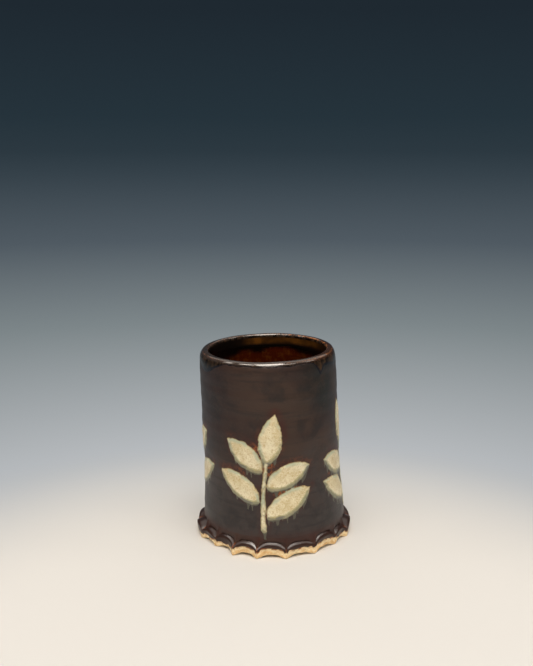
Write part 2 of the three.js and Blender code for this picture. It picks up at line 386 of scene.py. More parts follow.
# The glaze bulges over each scoop in a roll with a crease above it, and forks round the tips.
wall_foot = wall_ring(FOOT_TOP)
foot_radius = np.hypot(wall_foot[:, 0], wall_foot[:, 1])
foot_shift = wall_foot - around(foot_radius, cut_angle, wall_foot[:, 2])
roll_radius = np.maximum(scoop_middle + ROLL_PROUD, foot_radius + ROLL_LEAST)
ledge = roll_radius - foot_radius
tip_ledge = tip_radius - foot_radius
crease = np.array(CREASE_HEIGHTS)[scoop_of]
fork = np.minimum(FORK_SHARE * tip_ledge, FORK_LONGEST)
nose = tip_ledge - fork
dome = ledge + CREASE_SETBACK


def foot_knot(middle_out, middle_height, tip_out, tip_height, sharpness=3.4):
    """Radius and height round the foot, given at the middle of a scoop and at a tip."""
    reach = near_tip ** sharpness
    radius = foot_radius + middle_out * (1 - reach) + tip_out * reach
    return np.stack((radius, middle_height * (1 - arch) + tip_height * arch), axis=-1)


foot_knots = [
    foot_knot(0.00, FOOT_TOP, 0.00, FOOT_TOP),
    foot_knot(-0.30, crease + 0.30, 0.42 * fork, 8.9),
    foot_knot(-0.95, crease - 0.20, fork, 5.9),
    foot_knot(-CREASE_SETBACK, crease - 0.22, fork + 0.25 * nose, 5.6),
    foot_knot(-CREASE_SETBACK + 0.34 * dome, crease - 0.62, fork + 0.50 * nose, 5.35),
    foot_knot(-CREASE_SETBACK + 0.68 * dome, crease - 1.12, fork + 0.72 * nose, 5.1),
    foot_knot(-CREASE_SETBACK + 0.93 * dome, crease - 1.76, fork + 0.88 * nose, 4.85, 3.0),
    foot_knot(ledge, crease - 2.60, tip_ledge - 0.06, 4.6, 2.6),
    np.stack((scoop_radius, np.minimum(glaze_line + 0.5, SLAB_THICKNESS - 1.4 * arch)), axis=-1),
]


def foot_ring(station, out=0.0):
    """One ring of the glaze over the foot, from the wall at 0 over the roll at 5 to the scoop's face at 8."""
    low = min(int(station), len(foot_knots) - 2)
    share = station - low
    start, end = foot_knots[low], foot_knots[low + 1]
    before = foot_knots[max(low - 1, 0)]
    after = foot_knots[min(low + 2, len(foot_knots) - 1)]
    curve = start + share / 2 * (end - before) + share ** 2 / 2 * (2 * before - 5 * start + 4 * end - after)
    curve = curve + share ** 3 / 2 * (3 * (start - end) + after - before)
    return around(curve[:, 0] + out, cut_angle, curve[:, 1]) + foot_shift * eased(station, 3.0, 0.0)


under_coat = [wall_ring(height, -COAT) for height in UNDER_COAT_HEIGHTS]
under_coat += [foot_ring(station, -1.5 * COAT) for station in UNDER_COAT_STATIONS]
under_coat.append(around(scoop_radius - 1.0, cut_angle, SLAB_THICKNESS - 1.6 * arch))
clay_rows = list(under_coat)
clay_rows.append(around(scoop_radius - 1.6, cut_angle, WALL_UNDERSIDE))
clay_rows.append(around(CLAY_INSIDE, cut_angle, WALL_UNDERSIDE))
clay_rows += [leaned(around(CLAY_INSIDE, even_angle, height)) for height in CLAY_INSIDE_HEIGHTS]
clay_rows += [leaned(around(radius, even_angle, height)) for radius, height in CLAY_LIP]
clay_wall = spun("clay_wall_body", np.array(clay_rows), {})
clay_wall.data.materials.append(bare_clay)
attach(clay_wall, "root")
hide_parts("clay_wall")

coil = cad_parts["corner_coil"]
for slot in coil.material_slots:
    slot.material = bare_clay

# Liner glaze
# A gloss red-brown glaze that was poured in, swirled and tipped out. It is black where it lies thick, below
# the rim and most on the left, and pools in the corner round the floor.

INSIDE_RADIUS = 33.8
LINER_TOP = 108.3
LINER_FLOOR = 6.5
LINER_RINGS = 48
LINER_DRAWN_BACK = 0.14
POOL_CURVE = 7.7
POOL_RINGS = 12
FLOOR_RINGS = (22.0, 17.0, 12.0, 7.0, 3.0, 0.0)
LINER_BACK = ((34.15, LINER_TOP), (34.15, 60.0), (34.15, 14.0), (30.0, 8.0), (24.0, 6.05), (0.0, 6.05))
THICK_HEIGHT = 97.6
THICK_FADE = 3.6


def facing(degrees, width):
    """1 on this side of the cup, fading out softly over about this many degrees to both sides."""
    turned = (np.degrees(even_angle) - degrees + 180.0) % 360.0 - 180.0
    return np.exp(-(turned / width) ** 2)


liner_rows = []
for height in np.linspace(LINER_TOP, LINER_FLOOR + POOL_CURVE, LINER_RINGS):
    swell = 0.07 * np.sin(0.62 * height + 1.2 * np.sin(even_angle))
    swell = swell + 0.06 * np.sin(2 * even_angle + 0.05 * height)
    clear_of_rim = eased(height, 103.5, 97.5)
    radius = INSIDE_RADIUS + swell * clear_of_rim + LINER_DRAWN_BACK * (1 - clear_of_rim)
    liner_rows.append(leaned(around(radius, even_angle, height)))
for turn in np.linspace(0.0, math.pi / 2, POOL_RINGS)[1:]:
    radius = INSIDE_RADIUS - POOL_CURVE + POOL_CURVE * math.cos(turn)
    height = LINER_FLOOR + POOL_CURVE - POOL_CURVE * math.sin(turn)
    liner_rows.append(leaned(around(radius, even_angle, height)))
for radius in FLOOR_RINGS:
    ripple = 0.10 * math.cos(radius * 0.75)
    liner_rows.append(leaned(around(radius, even_angle, LINER_FLOOR + ripple)))
liner_rows.reverse()
liner_rows += [leaned(around(radius, even_angle, height)) for radius, height in LINER_BACK]
liner_rows = np.array(liner_rows)
thick_low = THICK_HEIGHT - 26.0 * facing(275.0, 30.0)
thick_low = thick_low + 2.6 * facing(160.0, 22.0)
thick_low = thick_low + 2.4 * (turn_grain(24, 14) - 0.5)
thick = eased(liner_rows[:, :, 2], thick_low, thick_low + THICK_FADE)
liner_coat = spun("liner_glaze_coat", liner_rows, {"thick": thick})

LINER_RED = (0.043, 0.0056, 0.0011, 1.0)
LINER_RUST = (0.078, 0.0195, 0.0030, 1.0)
LINER_BLACK = (0.0022, 0.0013, 0.001, 1.0)

liner_glaze, liner_shader, place = new_finish("liner_glaze")
mottle = place.stretched((1.0, 1.0, 0.7)).cloud(380.0, 4.0, 0.65)
liner_colour = layered(LINER_RED, [
    (mottle.eased(0.46, 0.68), LINER_RUST),
    (0.6 * place.height().eased(0.020, 0.008), LINER_BLACK),
    (place.mark("thick"), LINER_BLACK),
])
liner_colour.feeds(liner_shader, "Base Color")
place.cloud(120.0, 2.0).relief(0.0002).feeds(liner_shader, "Normal")
liner_shader.inputs["Roughness"].default_value = 0.1
liner_shader.inputs["Specular IOR Level"].default_value = 0.3

liner_coat.data.materials.append(liner_glaze)
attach(liner_coat, "root")
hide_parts("liner_glaze")

# Wall glaze
# A dark satin glaze, brown where it is thin and grey-black where it is thick, that the cup was dipped in. It
# runs glossy over the flange, rolls over the edge of each scoop and ends in an uneven line on its face.

WALL_GLAZE_TOP = 109.6
WALL_RINGS = 120
FOOT_RINGS = 49
GLAZE_HEM = ((0.05, 0.25), (0.18, 0.42), (0.55, 0.50))
ROLL_GLOSS = [0.3, 0.6, 0.8, 0.8, 0.8, 0.7, 0.8, 0.7, 0.8, 0.8, 0.7, 0.8, 0.8, 0.9, 1.0, 1.0, 0.2]

wall_heights = np.linspace(WALL_GLAZE_TOP, FOOT_TOP, WALL_RINGS)
foot_stations = np.linspace(0.0, len(foot_knots) - 1, FOOT_RINGS)[1:]
coat_rows = [wall_ring(height) for height in wall_heights]
coat_rows += [foot_ring(station) for station in foot_stations]
hem_height = foot_knots[-1][:, 1]
for inset, drop in GLAZE_HEM:
    coat_rows.append(around(scoop_radius - inset, cut_angle, hem_height - drop))
on_wall = slice(0, len(wall_heights))
on_foot = slice(on_wall.stop, on_wall.stop + len(foot_stations))
on_flange = slice(on_wall.stop, len(coat_rows))
past_foot = slice(on_foot.stop, None)
coat_rows += under_coat[::-1]
coat_rows = np.array(coat_rows)


def unmarked():
    """A mark of 0 all over the wall's coat."""
    return np.zeros(coat_rows.shape[:2])


# The foot is glossy, most on top of the rolls, and the coat wears thin over the ridges and along its hem.
foot_gloss = unmarked()
gloss_start = 1.9 + 0.8 * eased(near_tip, 0.88, 1.0)
foot_gloss[on_foot] = eased(foot_stations[:, None] - gloss_start, 0.0, 1.0)
foot_gloss[past_foot] = 1.0
roll_top = foot_gloss.copy()
roll_top[on_foot] *= eased(foot_stations, 5.7, 4.6)[:, None]
roll_top[past_foot] = 0.0
roll_top = roll_top * np.array(ROLL_GLOSS)[scoop_of]
flange_height = coat_rows[on_flange, :, 2]
ridge_start = 0.90 - 0.08 * eased(tip_glaze, 3.4, 2.4)
thin_ridge = 0.65 * eased(near_tip - ridge_start, 0.0, 0.08) * eased(flange_height, 7.4, 6.2)
thin_hem = 0.9 * eased(flange_height - glaze_line, 0.45, 0.0)
thinned = unmarked()
thinned[on_flange] = np.maximum(thin_ridge, thin_hem)

# The strokes of the leaf sprigs are laid out here, because the coat is redder round them.
SPRIGS = 4
FIRST_SPRIG = math.radians(-6.0)
SPRIG_RADIUS = 39.1
SPRIG_GAP = 4.0
SPRIG_REACH = 36.0
STEM_FOOT = 16.0
STEM_LENGTH = 38.0
STEM_WIDTH = 3.0
STEM_TAPER = 0.7
STEM_BOW = 2.5
LEAVES = 4
LOWEST_LEAF = 7.0
BARE_STEM_END = 4.5
LEAF_SPACING = (STEM_LENGTH - LOWEST_LEAF - BARE_STEM_END) / (LEAVES - 1)
LEAF_SPREAD = math.radians(58.0)
LEAF_GAP = 0.8
LEAF_REACH = (math.tau * SPRIG_RADIUS / SPRIGS - SPRIG_GAP - STEM_BOW - STEM_WIDTH) / 2 - LEAF_GAP
LEAF_LENGTH = LEAF_REACH / math.sin(LEAF_SPREAD)
LEAF_SHORTENING = 1.5
LEAF_CLEARANCE = 1.8
LEAF_WIDTH = 2 * LEAF_SPACING * math.sin(LEAF_SPREAD) - LEAF_CLEARANCE
LEAF_POINT = 0.8
LEAF_BELLY = 0.85
LEAF_DROOP = 3.0
TIP_LEAF_LENGTH = 28.0
STROKE_STEPS = 20
FAR_AWAY = 99.0
HALO_RIGHT = 0.4
HALO_UP = 1.2
HALO_WIDTH = 4.2


def bowed(start, bend, end, share):
    """Points at these shares of a bowed brush line."""
    return (1 - share) ** 2 * start + 2 * share * (1 - share) * bend + share ** 2 * end


stroke_shares = np.linspace(0.0, 1.0, STROKE_STEPS + 1)


def leaf_stroke(stalk, lean, length):
    """Brush line and half widths of one leaf, which starts at its stalk and droops as it leans."""
    end = stalk + length * np.array((math.sin(lean), math.cos(lean)))
    bend = (stalk + end) / 2 + np.array((0.0, LEAF_DROOP * abs(math.sin(lean))))
    width = LEAF_POINT + (LEAF_WIDTH - LEAF_POINT) * np.sin(math.pi * stroke_shares ** LEAF_BELLY)
    return bowed(stalk, bend, end, stroke_shares[:, None]), width / 2


def sprig_strokes(hand):
    """Brush lines and half widths of a sprig: its stem, four side leaves and the leaf at its tip."""
    foot = np.array((-hand * STEM_BOW / 2, STEM_FOOT))
    bend = np.array((-hand * STEM_BOW, STEM_FOOT + STEM_LENGTH / 2))
    top = np.array((hand * STEM_BOW / 2, STEM_FOOT + STEM_LENGTH))
    stem_half = np.linspace(STEM_WIDTH, STEM_TAPER * STEM_WIDTH, STROKE_STEPS + 1) / 2
    strokes = [(bowed(foot, bend, top, stroke_shares[:, None]), stem_half)]
    for leaf in range(LEAVES):
        side = -hand if leaf % 2 else hand
        share = (LOWEST_LEAF + leaf * LEAF_SPACING) / STEM_LENGTH
        along = (1 - share) * (bend - foot) + share * (top - bend)
        along = along / np.hypot(*along)
        sideways = np.array((along[1], -along[0]))
        stalk = bowed(foot, bend, top, share) + side * (STEM_WIDTH / 2 + LEAF_GAP) * sideways
        lean = math.atan2(*along) + side * LEAF_SPREAD
        strokes.append(leaf_stroke(stalk, lean, LEAF_LENGTH - leaf * LEAF_SHORTENING))
    along = (top - bend) / np.hypot(*(top - bend))
    strokes.append(leaf_stroke(top + LEAF_GAP * along, math.atan2(*along), TIP_LEAF_LENGTH))
    return strokes


def outside_strokes(sideways, height, strokes):
    """Distances from the edges of the strokes, below 0 inside them, with the nearest stroke first."""
    gaps = []
    for line, half in strokes:
        nearest = np.full(np.shape(sideways), FAR_AWAY)
        for index in range(STROKE_STEPS):
            run = line[index + 1] - line[index]
            right = sideways - line[index, 0]
            up = height - line[index, 1]
            share = np.clip((right * run[0] + up * run[1]) / (run @ run), 0.0, 1.0)
            away = np.hypot(right - share * run[0], up - share * run[1])
            nearest = np.minimum(nearest, away - half[index] - share * (half[index + 1] - half[index]))
        gaps.append(nearest)
    return np.sort(gaps, axis=0)


halo = unmarked()
crowded = unmarked()
for index in range(SPRIGS):
    strokes = sprig_strokes(-1 if index % 2 else 1)
    turn = even_angle - FIRST_SPRIG - index * math.tau / SPRIGS
    sideways = SPRIG_RADIUS * ((turn + math.pi) % math.tau - math.pi)
    close = np.abs(sideways) < SPRIG_REACH
    across, up = np.meshgrid(sideways[close], wall_heights)
    above = outside_strokes(across - HALO_RIGHT, up - HALO_UP, strokes)[0]
    halo[on_wall, close] = np.maximum(halo[on_wall, close], eased(above, HALO_WIDTH, 0.0))
    second = outside_strokes(across, up, strokes)[1]
    crowded[on_wall, close] = np.maximum(crowded[on_wall, close], eased(second, 3.4, 1.2))

# Broad tones lie in clouds over the upper wall, and the lower wall is charcoal.
turn_cells, rise_cells = np.meshgrid(even_turn / math.tau, wall_heights)
cloud_edge = grain(turn_cells * 14, rise_cells / 15.0, 14, 61) - 0.5
plum_sides = facing(-54.0, 26.0) + facing(118.0, 34.0)
olive_sides = facing(50.0, 20.0) + facing(205.0, 36.0)
plum, olive, char = unmarked(), unmarked(), unmarked()
plum[on_wall] = plum_sides * eased(rise_cells + 20.0 * cloud_edge, 48.0, 78.0)
olive[on_wall] = olive_sides * eased(rise_cells + 24.0 * cloud_edge, 62.0, 86.0)
char[on_wall] = eased(rise_cells + 30.0 * cloud_edge, 62.0, 36.0)

wall_coat = spun("wall_glaze_coat", coat_rows, {
    "foot_gloss": foot_gloss, "roll_top": roll_top, "thinned": thinned, "halo": halo, "crowded": crowded,
    "plum": plum, "olive": olive, "char": char,
})

GLAZE_BROWN = (0.0480, 0.0251, 0.0159, 1.0)
GLAZE_PLUM = (0.0260, 0.0123, 0.0101, 1.0)
GLAZE_OLIVE = (0.0125, 0.0123, 0.0095, 1.0)
GLAZE_CHAR = (0.0420, 0.0318, 0.0292, 1.0)
GLAZE_BLACK = (0.0090, 0.0080, 0.0076, 1.0)
GLAZE_RED = (0.048, 0.0115, 0.0065, 1.0)
GLAZE_RUST = (0.27, 0.072, 0.015, 1.0)
FOOT_BROWN = (0.030, 0.0120, 0.0075, 1.0)

dark_glaze, wall_shader, place = new_finish("dark_glaze")
bands = place.stretched((0.25, 0.25, 2.2)).cloud(150.0, 4.0, 0.6)
sparks = place.cloud(70.0, 2.0).eased(0.42, 0.56) * place.cloud(520.0, 3.0, 0.6).eased(0.42, 0.58)
sparks = sparks * (0.9 * place.mark("crowded") + 0.2 * place.mark("halo") * place.mark("halo"))
wall_colour = layered(GLAZE_BROWN, [
    (0.7 * place.cloud(30.0, 2.0).eased(0.46, 0.64), GLAZE_PLUM),
    (place.mark("plum"), GLAZE_PLUM),
    (place.mark("olive"), GLAZE_OLIVE),
    (place.mark("char"), GLAZE_CHAR),
    (0.5 * bands.eased(0.5, 0.72), GLAZE_BLACK),
    (0.5 * place.cloud(45.0, 3.0).eased(0.52, 0.68), GLAZE_BLACK),
    (0.5 * place.cloud(700.0, 4.0).eased(0.52, 0.7), GLAZE_BROWN),
    (0.45 * place.cloud(120.0, 4.0, 0.6).eased(0.50, 0.68), GLAZE_BLACK),
    (0.4 * place.cloud(85.0, 4.0, 0.6).eased(0.54, 0.70), GLAZE_BROWN),
    (place.height().eased(0.0165, 0.0095) * (0.3 + 0.5 * bands.eased(0.35, 0.6)), GLAZE_RED),
    (place.mark("halo") * (0.25 + 0.6 * place.cloud(95.0, 2.0).eased(0.4, 0.62)), GLAZE_RED),
    (sparks, GLAZE_RUST),
    (0.85 * place.mark("foot_gloss"), FOOT_BROWN),
    (place.mark("thinned") * (0.08 + 0.9 * place.cloud(420.0, 3.0).eased(0.42, 0.62)), GLAZE_RUST),
])
wall_colour.feeds(wall_shader, "Base Color")
satin = 0.40 + 0.14 * place.cloud(90.0, 3.0) - 0.12 * place.mark("foot_gloss")
satin.feeds(wall_shader, "Roughness")
place.mark("roll_top").feeds(wall_shader, "Coat Weight")
wall_relief = 0.5 * place.cloud(900.0, 3.0) + 0.8 * bands + place.cloud(160.0, 2.0)
(wall_relief * (1 - 0.8 * place.mark("foot_gloss"))).relief(0.00012).feeds(wall_shader, "Normal")
wall_shader.inputs["IOR"].default_value = 1.42
wall_shader.inputs["Coat Roughness"].default_value = 0.26
wall_shader.inputs["Coat IOR"].default_value = 1.78

wall_coat.data.materials.append(dark_glaze)
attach(wall_coat, "root")
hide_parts("wall_glaze")

# Rim glaze
# A second, gloss dip over the lip only, amber where it breaks over an edge and black where it gathers. On the
# outside it ends just below the lip at the front and runs down in short drips at the sides.

LIP_FOOT = 109.7
LIP_LINE = [
    (37.48, 110.00), (37.22, 110.20), (36.92, 110.37), (36.50, 110.52), (35.95, 110.63), (35.40, 110.68),
    (34.98, 110.66), (34.60, 110.54), (34.26, 110.30), (34.00, 109.94), (33.82, 109.48), (33.74, 108.9),
]
LIP_INNER_SIDE = 34.8
OUTER_EDGE = 37.35
INNER_EDGE_HEIGHT = 110.32
RIM_FRONT_END = 108.6
DRIPS = [
    (-60, 3.2, 9.0), (47, 5.4, 4.0), (72, 2.6, 9.0), (128, 3.6, 5.0), (171, 2.0, 6.0), (203, 4.2, 5.0),
    (243, 2.6, 7.0),
]
DRIP_RINGS = 22
RIM_INSIDE_END = 102.2
RIM_INSIDE_RINGS = 12
RIM_TUCKED_IN = 0.26
RIM_BACK = ((34.15, 103.2), (34.2, 108.5), (35.1, 109.9), (36.5, 109.8), (37.1, 109.2))

rim_rows = []
rim_marks = {"edge_break": [], "drop": [], "lip": [], "inner": [], "amber": []}


def rim_ring(points, **values):
    """Adds a ring to the rim glaze, with the marks that it carries there."""
    rim_rows.append(leaned(points))
    for mark, rings in rim_marks.items():
        rings.append(values.get(mark, 0.0) + 0 * even_angle)


# On the outside the coat ends low at the sides and behind, in drips whose thick tips are blue-black.
at_sides = np.sin(even_angle) ** 2
rim_low = RIM_FRONT_END - 2.2 * eased(at_sides, 0.30, 0.62)
rim_low = rim_low - 1.8 * eased(at_sides, 0.4, 0.7) * turn_grain(44, 11)
rim_low = rim_low - 1.6 * eased(np.cos(even_angle), 0.2, -0.5)
rim_low = rim_low - 0.8 * turn_grain(120, 12)
for drip_angle, drip_length, drip_width in DRIPS:
    rim_low = rim_low - drip_length * facing(drip_angle, drip_width)
drop_top = np.clip(0.35 * (LIP_FOOT - rim_low), 0.6, 2.6)
for share in np.linspace(0.0, 1.0, DRIP_RINGS):
    height = rim_low + share * (LIP_FOOT - rim_low)
    above_edge = height - rim_low
    lift = -0.05 + 0.11 * eased(above_edge, 0.0, 0.7) + 0.10 * eased(above_edge, 1.5, 4.0)
    lift = lift * eased(share, 1.4, 0.6) + 0.10 * eased(share, 0.6, 1.0)
    rim_ring(around(wall_radius(even_angle, height) + lift, even_angle, height),
             drop=eased(above_edge, 1.3 * drop_top, 0.65 * drop_top), lip=eased(height, 108.5, 109.5))

# The glaze breaks to a pale line along both edges of the lip, mostly at the sides.
right_side = eased(np.sin(even_angle), -0.1, 0.7)
left_side = eased(-np.sin(even_angle), 0.45, 0.95)
wobble = 0.05 * np.sin(5 * even_angle + 0.4) + 0.04 * np.sin(9 * even_angle)
for radius, height in LIP_LINE:
    is_inner = radius < LIP_INNER_SIDE
    outer_line = math.exp(-((radius - OUTER_EDGE) / 0.16) ** 2)
    outer_line = outer_line * (0.15 + 0.6 * right_side + 0.75 * left_side)
    inner_line = math.exp(-((height - INNER_EDGE_HEIGHT) / 0.25) ** 2) if is_inner else 0.0
    inner_line = inner_line * (0.35 + 0.65 * right_side)
    rim_ring(around(radius, even_angle, height + wobble), edge_break=np.maximum(outer_line, inner_line),
             lip=1.0 - eased(height, 110.2, 109.6) * is_inner)

# Inside it is black, with amber where it ran thin at the back and on the right.
inner_radius, inner_top = LIP_LINE[-1]
inside_end = RIM_INSIDE_END + 3.0 * (turn_grain(20, 13) - 0.5)
inside_end = inside_end + 3.5 * facing(265.0, 45.0)
back_patch = facing(190.0, 11.0)
right_patch = 0.9 * facing(143.0, 36.0) + 0.7 * facing(30.0, 30.0)
for share in np.linspace(0.0, 1.0, RIM_INSIDE_RINGS)[1:]:
    height = inner_top + share * (inside_end - inner_top)
    radius = inner_radius + RIM_TUCKED_IN * eased(share, 0.75, 1.0)
    rim_ring(around(radius, even_angle, height), inner=1.0,
             amber=back_patch * eased(height, 103.7, 105.7) + right_patch * eased(height, 103.8, 106.4))
for radius, height in RIM_BACK:
    rim_ring(around(radius, even_angle, height))
tuck = np.minimum(rim_low + 0.4, 108.9)
rim_ring(around(wall_radius(even_angle, tuck) - 0.5, even_angle, tuck))
rim_marks = {mark: np.array(rings) for mark, rings in rim_marks.items()}
rim_coat = spun("rim_glaze_coat", np.array(rim_rows), rim_marks)

RIM_BROWN = (0.044, 0.030, 0.023, 1.0)
RIM_UMBER = (0.040, 0.0245, 0.0150, 1.0)
RIM_BLACK = (0.0040, 0.0028, 0.0022, 1.0)
RIM_AMBER = (0.105, 0.038, 0.0055, 1.0)
RIM_CHESTNUT = (0.047, 0.0165, 0.0045, 1.0)
RIM_PINK = (0.27, 0.120, 0.075, 1.0)
RIM_TAN = (0.38, 0.135, 0.036, 1.0)
RIM_BLUE = (0.006, 0.0075, 0.0125, 1.0)

rim_glaze, rim_shader, place = new_finish("rim_glaze")
rightward = place.node("ShaderNodeSeparateXYZ", {}, {0: place})
runs = place.stretched((1.0, 1.0, 0.25)).cloud(330.0, 3.0, 0.6)
lip_colour = layered(RIM_BROWN, [
    (place.cloud(260.0, 3.0).eased(0.42, 0.66), RIM_UMBER),
    (0.8 * rightward.eased(0.005, 0.030), RIM_CHESTNUT),
])
amber = place.mark("amber") * (0.45 + 0.6 * place.cloud(170.0, 3.0).eased(0.36, 0.62))
worn = rightward.eased(-0.03, 0.03).tint(RIM_PINK, RIM_TAN)
rim_colour = layered(RIM_BLACK, [
    (runs.eased(0.42, 0.60), RIM_UMBER),
    (0.3 * runs.eased(0.54, 0.66) * place.cloud(60.0, 2.0).eased(0.4, 0.6), RIM_AMBER),
    (place.mark("lip"), lip_colour),
    (place.mark("inner"), amber.tint(RIM_BLACK, RIM_AMBER)),
    (place.mark("drop"), RIM_BLUE),
    (place.mark("edge_break") * place.cloud(520.0, 3.0, 0.6).eased(0.40, 0.60), worn),
])
rim_colour.feeds(rim_shader, "Base Color")
(0.30 - 0.15 * place.mark("lip")).feeds(rim_shader, "Roughness")
place.cloud(260.0, 2.0).relief(0.00006).feeds(rim_shader, "Normal")
place.mark("lip").feeds(rim_shader, "Coat Weight")
rim_shader.inputs["IOR"].default_value = 1.3
rim_shader.inputs["Specular Tint"].default_value = (1.0, 0.9, 0.78, 1.0)
rim_shader.inputs["Coat IOR"].default_value = 1.92
rim_shader.inputs["Coat Roughness"].default_value = 0.11

rim_coat.data.materials.append(rim_glaze)
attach(rim_coat, "root")
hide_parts("rim_glaze")

# Leaf sprigs
# Four sprigs brushed over the dark coat in a thick cream glaze. In the firing it flowed a little: its edges
# turned pale green, and it ran in short feathers from the lower edges.

SPRIG_CELL = 0.32
SPRIG_HALF_WIDTH = 32.0
SPRIG_LOW = 8.0
SPRIG_HIGH = 88.0
SPRIG_COLUMNS = round(2 * SPRIG_HALF_WIDTH / SPRIG_CELL)
SPRIG_ROWS = round((SPRIG_HIGH - SPRIG_LOW) / SPRIG_CELL)
GRAIN_START = 40
EDGE_WAVE = 3.5
EDGE_RIPPLE = 1.1
FEATHER_SPACING = 0.85
FEATHER_GROUP = 8.0
FEATHER_CELLS = 16
FEATHER_DEPTH = 1.2
CREAM_HEIGHT = 0.42
CREAM_MARGIN = 0.4
SINK = 0.45

CREAM = (0.675, 0.558, 0.320, 1.0)
CREAM_PALE = (0.830, 0.742, 0.515, 1.0)
CREAM_OCHRE = (0.530, 0.372, 0.148, 1.0)
CELADON = (0.440, 0.482, 0.345, 1.0)
THIN_OCHRE = (0.250, 0.149, 0.037, 1.0)
THIN_OLIVE = (0.330, 0.282, 0.090, 1.0)
THIN_GREY = (0.185, 0.179, 0.138, 1.0)
FEATHER = (0.085, 0.078, 0.055, 1.0)

cream_glaze, cream_shader, place = new_finish("cream_glaze")
inside = place.mark("inside")
lower_side = place.mark("low_edge")
grit = place.cloud(1500.0, 2.0)
patches = 0.5 + 0.5 * place.cloud(140.0, 3.0).eased(0.40, 0.58)
cream_colour = layered(CREAM, [
    (place.cloud(150.0, 3.0).eased(0.38, 0.66), CREAM_PALE),
    (0.6 * place.cloud(520.0, 4.0, 0.6).eased(0.52, 0.70), CREAM_OCHRE),
    (0.7 * grit.eased(0.54, 0.66), CREAM_PALE),
    (0.6 * grit.eased(0.44, 0.34), CREAM_OCHRE),
    (inside.eased(3.0, 0.7) * (0.15 + 0.8 * place.cloud(110.0, 2.0).eased(0.42, 0.60)), CELADON),
    (0.8 * inside.eased(0.8, 0.2) * (1 - lower_side), THIN_OCHRE),
    (0.6 * (lower_side * inside.eased(2.4, 1.8)), THIN_OLIVE),
    (lower_side * inside.eased(1.7, 1.0) * patches, THIN_GREY),
    (place.mark("feather"), FEATHER),
])
cream_colour.feeds(cream_shader, "Base Color")
(place.cloud(1100.0, 3.0) + place.cloud(220.0, 2.0)).relief(0.0001).feeds(cream_shader, "Normal")
cream_shader.inputs["Roughness"].default_value = 0.42

for index in range(SPRIGS):
    strokes = sprig_strokes(-1 if index % 2 else 1)
    bm = bmesh.new()
    bmesh.ops.create_grid(bm, x_segments=SPRIG_COLUMNS, y_segments=SPRIG_ROWS, size=1.0)
    bm.verts.ensure_lookup_table()
    flat = np.array([vert.co[:2] for vert in bm.verts])
    sideways = flat[:, 0] * SPRIG_HALF_WIDTH
    height = SPRIG_LOW + (flat[:, 1] + 1.0) / 2 * (SPRIG_HIGH - SPRIG_LOW)
    outside = outside_strokes(sideways, height, strokes)[0]
    wave = grain(sideways / EDGE_WAVE + GRAIN_START, height / EDGE_WAVE, 64, 20 + index)
    ripple = grain(sideways / EDGE_RIPPLE + GRAIN_START, height / EDGE_RIPPLE, 128, 30 + index)
    outside = outside + 0.9 * (wave - 0.5)
    outside = outside + 0.5 * (ripple - 0.5)

    # The glaze runs straight down from every point near an edge, further along some columns than others.
    columns = np.round((sideways + SPRIG_HALF_WIDTH) / SPRIG_CELL).astype(int)
    rows = np.round((height - SPRIG_LOW) / SPRIG_CELL).astype(int)
    brushed = np.full((columns.max() + 1, rows.max() + 1), FAR_AWAY)
    brushed[columns, rows] = outside
    comb = np.arange(brushed.shape[0]) * SPRIG_CELL
    feather_grain = grain(comb / FEATHER_SPACING, 0 * comb, 256, 40 + index)
    group_grain = grain(comb / FEATHER_GROUP, 0 * comb, 64, 50 + index)
    run_length = (2.3 + 4.0 * eased(feather_grain, 0.38, 0.78)) * (0.75 + 0.5 * group_grain)
    flowed = brushed.copy()
    shallow = np.maximum(brushed, -FEATHER_DEPTH)
    for step in range(1, FEATHER_CELLS):
        fallen = shallow[:, step:] + (FEATHER_DEPTH * step * SPRIG_CELL / run_length)[:, None]
        flowed[:, :-step] = np.minimum(flowed[:, :-step], fallen)
    edge = flowed[columns, rows]
    slope = np.roll(brushed, -2, axis=1) - np.roll(brushed, 2, axis=1)
    low_edge = eased(-slope[columns, rows] / (4 * SPRIG_CELL), -0.1, 0.7)
    feather = eased(outside, -0.3, 0.6)
    thickness = CREAM_HEIGHT * eased(-edge, -0.25, 1.5) * (1 - 0.6 * feather)
    thickness = thickness - 0.14 * eased(edge, -0.15, 0.3)

    # The sheet is laid on the wall, cut to the glaze's outline and given a back inside the dark coat.
    angle = FIRST_SPRIG + index * math.tau / SPRIGS + sideways / SPRIG_RADIUS
    points = leaned(around(wall_radius(angle, height) + thickness, angle, height)) * MM
    marks = {"inside": -edge, "low_edge": low_edge, "feather": feather}
    layers = {mark: bm.verts.layers.float.new(mark) for mark in marks}
    bm.verts.ensure_lookup_table()
    for number, vert in enumerate(bm.verts):
        vert.co = points[number]
        for mark, values in marks.items():
            vert[layers[mark]] = values[number]
    beyond = [vert for vert in bm.verts if vert[layers["inside"]] < -CREAM_MARGIN]
    bmesh.ops.delete(bm, geom=beyond, context="VERTS")
    loose = [vert for vert in bm.verts if not vert.link_faces]
    bmesh.ops.delete(bm, geom=loose, context="VERTS")
    backing = bmesh.ops.extrude_face_region(bm, geom=bm.faces[:], use_keep_orig=True)
    for vert in (part for part in backing["geom"] if isinstance(part, bmesh.types.BMVert)):
        vert.co.xy *= 1.0 - SINK / SPRIG_RADIUS
    bmesh.ops.recalc_face_normals(bm, faces=bm.faces)
    sprig = shown(f"cream_sprig_{index + 1}", bm)
    sprig.data.materials.append(cream_glaze)
    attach(sprig, "root")
    node = f"sprig_{index + 1}"
    leaves = [f"{node}_leaf_{leaf + 1}" for leaf in range(LEAVES)]
    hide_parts(f"{node}_stem", f"{node}_leaf_tip", *leaves)
